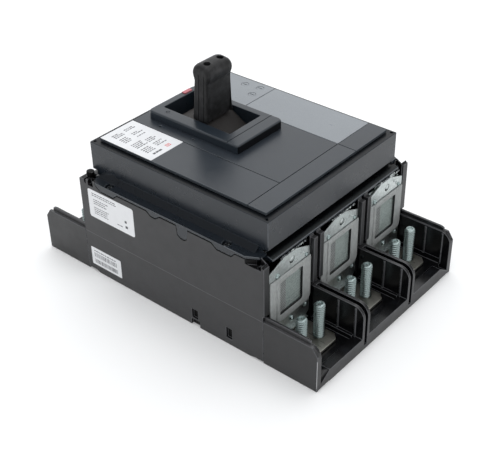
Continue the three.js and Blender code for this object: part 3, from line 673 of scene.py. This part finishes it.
def vent_frame(number):
    """Board round the vent's window, with a sloping inner border, and painted shade on its faces inside
    the window.
    """
    node = f"vent_frame_{number}"
    low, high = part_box(node)
    window_low, window_high = vent_window(number)

    def outer(inset, y):
        return [(x, y, z) for x, z in rounded_ring(
            low.x + inset, high.x - inset, low.z + inset, high.z - inset,
            (6 * MM, 6 * MM, 0.8 * MM, 0.8 * MM))]

    def inner(grow, y):
        return [(x, y, z) for x, z in rounded_ring(
            window_low.x - grow, window_high.x + grow, window_low.z - grow, window_high.z + grow,
            (1.2 * MM, 3 * MM, 1.2 * MM, 1.2 * MM))]

    soft = 0.35 * MM
    board = low.y + 0.8 * MM
    # round the outside, up the sloping border, and down inside the window
    rings = [
        outer(0, high.y), outer(0, board + soft), outer(soft, board),
        inner(4.6 * MM, board), inner(4.1 * MM, low.y), inner(0.9 * MM, low.y),
        inner(0.2 * MM, low.y + soft), inner(0, low.y + 2 * soft), inner(0, high.y),
    ]

    def build(bm):
        loft(bm, rings, close=True)
        for face in bm.faces:
            middle = face.calc_center_median()
            inside = window_low.x - MM < middle.x < window_high.x + MM
            inside = inside and window_low.z - MM < middle.z < window_high.z + MM
            # faces inside the window, behind its front rim, take painted shade
            face.material_index = 1 if inside and middle.y > low.y + soft else 0

    piece = add_piece(
        f"vent_board_{number}", to_mesh(node, build), "vent_board", "housing", [node],
        [MATERIALS["vent_board"], SHADOW])
    return smooth(piece, 30)


def vent_screen(number):
    """Woven wire in the window, with a ladder of bright rungs over a strip in painted shade at its left.
    """
    low, high = vent_window(number)
    behind = 1.4 * MM
    y = high.y + behind
    radius = 0.42 * MM
    pitch = 1.35 * MM
    sides = 6

    def strand(bm, start, end, across, first):
        count = max(round((end - start).length / (pitch / 2)), 2)
        rings = []
        for i in range(count + 1):
            weave = radius * 0.6 * math.cos(math.pi * (i + first))
            centre = start + (end - start) * (i / count) + Vector((0, weave, 0))
            rings.append([
                centre + across * out + Vector((0, 1, 0)) * back
                for out, back in circle(0, 0, radius, sides)])
        loft(bm, rings)

    def build(bm):
        for i in range(int((high.x - low.x) / pitch) + 1):
            x = low.x + i * pitch
            strand(bm, Vector((x, y, low.z)), Vector((x, y, high.z)), Vector((1, 0, 0)), i)
        for i in range(int((high.z - low.z) / pitch) + 1):
            z = low.z + i * pitch
            strand(bm, Vector((low.x, y, z)), Vector((high.x, y, z)), Vector((0, 0, 1)), i + 1)

    def ladder(bm):
        spacing = 1.75 * MM
        right = low.x + 9.4 * MM
        back, middle, front = (y - out * MM for out in (0.5, 0.7, 0.95))
        block(bm, (low.x, middle, low.z), (right, back, high.z))
        # the strip behind the rungs is in painted shade
        for face in bm.faces:
            face.material_index = 1
        for i in range(int((high.z - low.z) / spacing)):
            z = low.z + (i + 0.5) * spacing
            block(bm, (low.x, front, z), (right, middle, z + 0.9 * MM))

    add_piece(f"vent_screen_{number}", to_mesh("screen", build), "steel_plate")
    add_piece(f"vent_ladder_{number}", to_mesh("ladder", ladder), "steel_plate",
              materials=[MATERIALS["vent_board"], PAINTED_SHADE_STEEL])


def pan_screw(bm, centre, radius):
    """Round screw head facing -Y, dished in the middle."""
    head = [(0, 0), (radius, 0), (radius, 0.25 * radius), (0.85 * radius, 0.5 * radius),
            (0.5 * radius, 0.68 * radius), (0.3 * radius, 0.7 * radius), (0.26 * radius, 0.35 * radius),
            (0, 0.3 * radius)]
    turn(bm, head, centre, "-Y", 20)


def chute_fasteners(number):
    """The screws round a chute's window, each in a size of its own."""
    low, high, pole, face = chute_place(number)
    # (x from the middle, z, radius), with the lengths in mm
    places = (
        (-17, high.z - 13.8 * MM, 2.5), (21.8, high.z - 13.8 * MM, 1.9),
        (21.6, low.z + 13.6 * MM, 2.4), (2.5, low.z + 10 * MM, 2.9),
    )

    def build(bm):
        for x, z, radius in places:
            pan_screw(bm, (pole + x * MM, face, z), radius * MM)

    mesh = to_mesh("fasteners", build)
    return smooth(add_piece(f"chute_fasteners_{number}", mesh, "stud_steel"), 40)


def chute_clip(number):
    """Crumpled edge of the sheet that hangs the chute from the cover's lip."""
    _, high, pole, _ = chute_place(number)
    lip = high.z + 1.9 * MM
    start = pole - 13 * MM
    step = 1.15 * MM
    count = 31
    thickness = 0.35 * MM
    dice = random.Random(40 + number)

    def build(bm):
        rings = []
        for i in range(count):
            x = start + i * step
            front = high.y - dice.uniform(0.9, 1.7) * MM
            back = front + thickness
            top = lip + dice.uniform(-0.4, 0.4) * MM
            foot = lip - dice.uniform(0.7, 2.1) * MM
            rings.append([(x, front, foot), (x, back, foot), (x, back, top), (x, front, top)])
        loft(bm, rings)
        # about one face in four is bright zinc as a painted glint, and the rest darker steel as painted
        # shade
        for face in bm.faces:
            face.material_index = dice.choice((0, 0, 0, 1))

    add_piece(f"chute_clip_{number}", to_mesh("clip", build), "zinc_plate",
              materials=[BLACK_STEEL, MATERIALS["zinc_plate"]])


def add_arc_chutes():
    for number in (1, 2, 3):
        chute_plate(number)
        chute_clip(number)
        vent_frame(number)
        vent_screen(number)
        chute_fasteners(number)


# ---- Front ---------------------------------------------------------------------------------------
def toggle_frame():
    """Raised frame round the toggle: soft outer edges, a groove across its front and a deep well."""
    low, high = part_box("handle_frame")
    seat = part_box("front_escutcheon")[1].z + 0.2 * MM
    well = (-18.5 * MM, 23.5 * MM, 0.0, 80 * MM)
    wall = 2.6 * MM
    edge = 1.7 * MM
    lip = 0.7 * MM
    corners = (2.4, 4.6, 4.6, 4.6)

    def outer(inset, z):
        radii = [radius * MM - inset / 2 for radius in corners]
        points = rounded_ring(low.x + inset, high.x - inset, low.y + inset, high.y - inset, radii, 8)
        return [(x, y, z) for x, y in points]

    def inner(grow, z):
        x0, x1, y0, y1 = well
        points = rounded_ring(x0 - grow, x1 + grow, y0 - grow, y1 + grow, 0.8 * MM + grow, 8)
        return [(x, y, z) for x, y in points]

    steps = 5
    turns = [math.pi / 2 * i / steps for i in range(steps + 1)]
    rings = [outer(0, seat)]
    rings += [outer(edge * (1 - math.cos(a)), high.z - edge * (1 - math.sin(a))) for a in turns]
    rings += [inner(lip * (1 - math.sin(a)), high.z - lip * (1 - math.cos(a))) for a in turns[::2]]
    rings += [inner(0, low.z), inner(wall, low.z), inner(wall, seat)]
    mesh = to_mesh("frame", lambda bm: loft(bm, rings, close=True))
    piece = add_piece("toggle_frame", mesh, "frame_plastic", "housing", ["handle_frame"])

    def tools(bm):
        over = high.z + MM
        groove, half = low.y + 12.5 * MM, 0.35 * MM
        block(bm, (low.x - MM, groove - half, high.z - 1.1 * MM), (high.x + MM, groove + half, over))
        button_low, button_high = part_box("trip_button")
        gap = 0.3 * MM
        block(bm, (button_low.x - gap, button_low.y - gap, seat - 1.2 * MM),
              (button_high.x + gap, button_high.y + gap, over))
        # a ring engraved at the upper left
        engraved = high.z - 0.4 * MM
        profile = ((2, engraved), (2, over), (1.3, over), (1.3, engraved))
        ring_mark = [
            [(x, y, z) for x, y in circle(-23.5 * MM, 70 * MM, radius * MM)] for radius, z in profile]
        loft(bm, ring_mark, close=True)

    return smooth(carve(piece, tools), 32)


def lever():
    """Push-on handle: a slim neck swelling into a rounded head with two eyes through its top."""
    pivot = Vector(JOINTS["toggle_hinge"]["pos_m"])
    low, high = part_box("extension_handle")
    foot = low.z - pivot.z + 0.4 * MM
    height = high.z - pivot.z - foot
    middle = -1.4 * MM
    lean = Matrix.Translation(pivot) @ Matrix.Rotation(math.radians(2.5), 4, "X")
    # (share of the height, half its width, half its depth, corner radius), with the lengths in mm
    stations = (
        (0.0, 18.0, 8.8, 2.0), (0.12, 17.5, 8.6, 2.0), (0.25, 17.0, 8.4, 2.0), (0.5, 16.5, 8.1, 2.0),
        (0.66, 16.3, 7.8, 2.0), (0.70, 16.4, 7.9, 2.4), (0.74, 16.5, 8.6, 2.8), (0.78, 16.7, 9.5, 3.2),
        (0.83, 16.9, 10.1, 3.6), (0.88, 16.8, 10.0, 4.0), (0.925, 16.3, 9.3, 4.4),
        (0.958, 15.4, 8.0, 4.6), (0.982, 13.9, 6.1, 4.4), (0.996, 11.6, 3.6, 3.0), (1.0, 9.0, 1.4, 1.3),
    )

    def build(bm):
        rings = []
        for share, half_x, half_y, radius in stations:
            z = foot + share * height
            centre = max(0.0, 0.8 - 1.6 * share)
            points = rounded_ring(
                (centre - half_x) * MM, (centre + half_x) * MM,
                middle - half_y * MM, middle + half_y * MM, radius * MM, 5)
            rings.append([lean @ Vector((x, y, z)) for x, y in points])
        loft(bm, rings)

    piece = add_piece(
        "lever", to_mesh("lever", build), "handle_plastic", "toggle", ["extension_handle"])

    def tools(bm):
        top = foot + height
        crease = foot + 0.7 * height
        below = foot - MM
        over = top + MM
        eye_floor = top - 16 * MM
        eye_radius = 3 * MM
        eye = [(0, eye_floor), (eye_radius, eye_floor), (eye_radius, top - 1.6 * MM),
               (eye_radius + 0.7 * MM, over), (0, over)]
        for side in (-1, 1):
            turn(bm, eye, (side * 8.6 * MM, middle - 1.2 * MM, 0))
            # sunk broad faces, and moulded lines up each narrow one
            face = [middle + side * reach * MM for reach in (7.2, 13)]
            block(bm, (-15.2 * MM, min(face), below), (16 * MM, max(face), crease))
            edge = [side * reach * MM for reach in (15.8, 20)]
            for line in (-4.6, 1.4):
                block(bm, (min(edge), middle + line * MM, below),
                      (max(edge), middle + (line + 0.6) * MM, top - 9 * MM))
        # socket that takes the drum's stub
        block(bm, (-6.4 * MM, -7.2 * MM, below), (11.4 * MM, 2.6 * MM, foot + 20 * MM))
        bmesh.ops.transform(bm, matrix=lean, verts=bm.verts)

    return smooth(carve(piece, tools), 42)


def add_front():
    for node in ("accessory_cover", "front_escutcheon", "front_strip", "corner_strip",
                 "trip_unit_panel", "trip_unit_window"):
        refined(node, 0.3 * MM)
    refined("trip_unit", 0.5 * MM)
    refined("toggle_drum", 0.4 * MM, finish=DRUM_PLASTIC, flat=12)
    refined("trip_button", 0.5 * MM, 3)
    for i in (1, 2, 3):
        refined(f"setting_dial_{i}", 0.25 * MM)
    toggle_frame()
    lever()


# ---- Labels --------------------------------------------------------------------------------------
def label(name, place, width, height, corner, marks):
    """A film label, sized in mm, in the plane of `place`, whose X and Y span it and whose Z leaves the
    surface. Its marks are (x0, x1, y0, y1, ink) rectangles; ink 0 is paper, 1 is grey and 2 is red."""
    thickness = 0.12
    ink_height = 0.01
    # each mark lies a little over the one before it, so that none share a plane
    step = 1e-4

    def build(bm):
        rings = [[(x, y, z) for x, y in rounded_ring(0, width, 0, height, corner, 4)]
                 for z in (0.0, thickness)]
        loft(bm, rings)
        for level, (x0, x1, y0, y1, ink) in enumerate(marks, 1):
            z = thickness + ink_height + level * step
            corners = ((x0, y0, z), (x1, y0, z), (x1, y1, z), (x0, y1, z))
            face = bm.faces.new([bm.verts.new(point) for point in corners])
            face.material_index = ink
        bmesh.ops.transform(bm, matrix=place @ Matrix.Scale(MM, 4), verts=bm.verts)

    mesh = to_mesh(name, build, closed=False)
    return add_piece(name, mesh, "panel_plastic", materials=[PAPER, INK, RED_INK])


def dashes(rng, x0, x1, y, size, dash=(1.2, 3.4), gap=0.7):
    """One row of short strokes, in mm, that stands for a line of print."""
    marks = []
    x = x0
    while x < x1 - dash[0]:
        length = min(rng.uniform(*dash), x1 - x)
        marks.append((x, x + length, y, y + size, 1))
        x += length + gap
    return marks


def top_label():
    """Rating plate on the front: rows of strokes across it, a heading and a red mark."""
    rng = random.Random(11)
    low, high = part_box("accessory_cover")
    inset = 0.2 * MM
    width, length = (high.x - low.x - 2 * inset) / MM, 63
    place = Matrix.Translation((low.x + inset, high.y - inset - length * MM, high.z))
    marks = dashes(rng, 9, 22, 5, 2.2, (2.4, 3.6), 0.5)
    for step, ink in ((0.0, 2), (0.8, 0), (1.5, 2)):
        marks.append((26 + step, 31 - step, 5 + step, 9 - step, ink))
    blank_rows = (4, 9, 10, 15)
    for row in range(19):
        y = 11 + 2.45 * row
        if row in blank_rows:
            continue
        marks += dashes(rng, 7, rng.uniform(15, 20), y, 1.2)
        if row % 4:
            marks += dashes(rng, 22, rng.uniform(28, 35), y, 1.2)
    return label("rating_label", place, width, length, 0.6, marks)


def side_place(inset, z):
    """Plane on the -X side of the case, that far in mm from its load end and above its rear face: X
    runs towards -Y and Y runs up."""
    low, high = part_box("base_case")
    axes = Matrix(((0, 0, -1, 0), (-1, 0, 0, 0), (0, 1, 0, 0), (0, 0, 0, 1)))
    return Matrix.Translation((low.x, high.y - inset * MM, z * MM)) @ axes


def notice_label():
    """Upper side label: a heading, three paragraphs and two small square marks."""
    rng = random.Random(5)
    width, height = 57.8, 30
    marks = []
    blank_rows = (2, 6)
    for row in range(11):
        y = height - 4.0 - 2.1 * row
        if row in blank_rows:
            continue
        heading = row < 2
        reach = 36 if heading else rng.uniform(20, 27)
        marks += dashes(rng, 5 if heading else 6.5, reach, y, 0.85)
    marks += [(46, 48.6, 11, 13.6, 1), (46.5, 49.5, 5.5, 8.2, 1)]
    marks += dashes(rng, 36, 43, 5, 0.9)
    return label("notice_label", side_place(10, 65), width, height, 2.2, marks)


def stripe_label():
    """Lower side label: a heading over two rows of upright stripes."""
    rng = random.Random(8)
    width, height = 39.5, 20
    marks = dashes(rng, 4, 33, height - 4, 1.0)
    for foot, top in ((9.5, 14.5), (2.5, 7.0)):
        x = 4.0
        while x < 34:
            stroke = rng.uniform(0.25, 0.9)
            marks.append((x, x + stroke, foot, top, 1))
            x += stroke + rng.uniform(0.3, 0.9)
    return label("stripe_label", side_place(5, 8), width, height, 0.8, marks)


# ---- Case, camera and studio ---------------------------------------------------------------------
def add_case():
    refined("base_case", 0.4 * MM)
    refined("cover", 0.45 * MM)
    for end in ("line", "load"):
        refined(f"{end}_shield", 0.4 * MM)
    for i in (1, 2, 3, 4):
        refined(f"cover_screw_{i}", 0.15 * MM, finish=BLACK_STEEL)
    refined("mechanism_frame", 0.2 * MM)


def dress_remaining_nodes():
    """Gives the CAD nodes that are shown as they are the material of their slot."""
    replaced = {name for piece in bpy.data.objects for name in piece.get("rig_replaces", [])}
    for name, node in frame["nodes"].items():
        if name not in replaced:
            node.data.materials.clear()
            node.data.materials.append(MATERIALS[SLOT_OF[name]])


def add_camera():
    """Looks down at the line end and the -X side, with a long lens."""
    azimuth, elevation, roll = (math.radians(angle) for angle in (-49.57, 34.79, -0.97))
    target = Vector((-4.5, -9.4, 45.6)) * MM
    distance = 0.9484
    back = Vector((
        math.sin(azimuth) * math.cos(elevation), -math.cos(azimuth) * math.cos(elevation),
        math.sin(elevation)))
    level = Vector((math.cos(azimuth), math.sin(azimuth), 0))
    upright = back.cross(level)
    right = math.cos(roll) * level + math.sin(roll) * upright
    up = math.cos(roll) * upright - math.sin(roll) * level
    data = bpy.data.cameras.new("camera")
    data.sensor_width = 36
    data.lens = 72.94
    data.clip_start = 0.01
    camera = bpy.data.objects.new("camera", data)
    turned = Matrix((right, up, back)).transposed().to_4x4()
    camera.matrix_world = Matrix.Translation(target + back * distance) @ turned
    bpy.context.scene.collection.objects.link(camera)
    bpy.context.scene.camera = camera


def studio_world():
    """White tent: bright overhead, at the horizon and behind the object, dimmer at mid height."""
    world = bpy.data.worlds.new("studio")
    world.use_nodes = True
    nodes = Nodes(world.node_tree, "Generated")
    background = nodes.tree.nodes["Background"]
    background.inputs["Color"].default_value = (0.975, 0.987, 1.0, 1.0)
    tent = nodes.node("FloatCurve", {"Value": nodes.axis("Z")})
    curve = tent.mapping.curves[0]
    brightness = ((0.0, 0.95), (0.2, 0.5), (0.7, 0.5), (0.86, 1.0), (1.0, 1.0))
    while len(curve.points) < len(brightness):
        curve.points.new(0.5, 0.5)
    for point, stop in zip(curve.points, brightness):
        point.location = stop
    behind = (0.62, 0.53, 0.57)
    toward = nodes.node("VectorMath", {0: nodes.place, 1: behind}, operation="DOT_PRODUCT")
    spread = {"Value": toward.outputs["Value"], "From Min": 0.55, "From Max": 0.9, "To Max": 0.48}
    lobe = nodes.node("MapRange", spread, interpolation_type="SMOOTHSTEP")
    total = nodes.math("ADD", tent.outputs[0], lobe.outputs["Result"])
    strength = nodes.math("MULTIPLY", total, 1.42)
    nodes.tree.links.new(strength, background.inputs["Strength"])
    bpy.context.scene.world = world


def add_studio():
    """The floor, just clear of the object's rear face, and the light."""
    reach = 5
    top = -0.4 * MM
    bottom = -20 * MM
    mesh = to_mesh("floor", lambda bm: block(bm, (-reach, -reach, bottom), (reach, reach, top)))
    mesh.materials.append(floor_material())
    floor = bpy.data.objects.new("floor", mesh)
    bpy.context.scene.collection.objects.link(floor)
    studio_world()
    bpy.context.scene.view_settings.view_transform = "Standard"


add_camera()
add_studio()
add_case()
add_terminals()
add_arc_chutes()
add_front()
top_label()
notice_label()
stripe_label()
dress_remaining_nodes()
